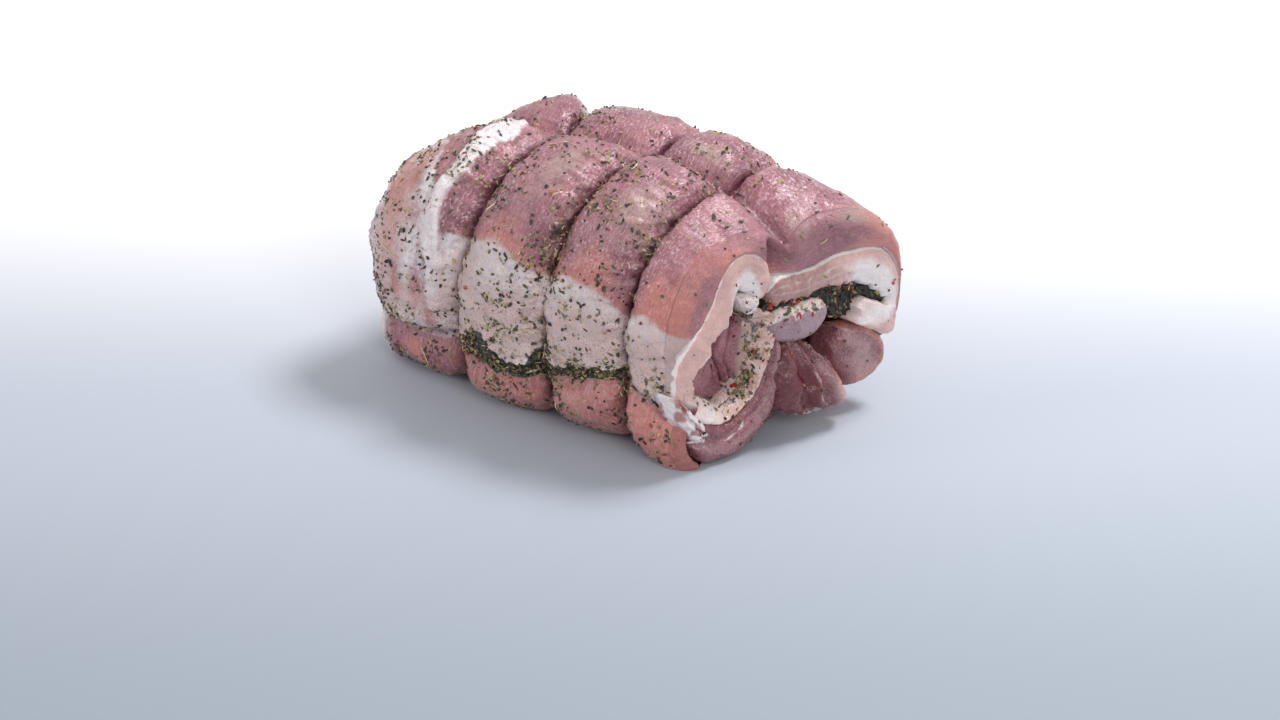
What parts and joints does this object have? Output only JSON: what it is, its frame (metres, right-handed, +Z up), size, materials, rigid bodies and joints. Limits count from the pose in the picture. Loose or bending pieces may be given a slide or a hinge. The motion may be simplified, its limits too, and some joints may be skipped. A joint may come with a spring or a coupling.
{
  "type": "rolled and tied pork roast",
  "caption": "Raw porchetta: pork rolled round herbs, rubbed with herbs and chilli and tied with twine, one end cut to show the spiral.",
  "frame": {"origin": "middle of the roast's footprint, on the surface it rests on", "axes": "+X along the roll to the cut end that shows the spiral, +Y to the back, away from the seam, +Z up"},
  "size_m": [0.2008, 0.1304, 0.1155],
  "materials": {
    "lean": "moist raw lean pork, pink, with fine fibres and a wet shine",
    "fat": "moist pale fat, white to greyish pink",
    "herbs": "packed dried herbs, pepper and chilli",
    "inner_lean": "moist darker lean inside the spiral",
    "twine": "thin twisted cotton twine, red and white"
  },
  "bodies": {
    "root": {"outer_lean": "lean", "fat_layer": "fat", "herb_filling": "herbs", "inner_lean_left": "inner_lean", "inner_lean_right": "inner_lean", "tie_1": "twine", "tie_2": "twine", "tie_3": "twine"}
  },
  "joints": []
}
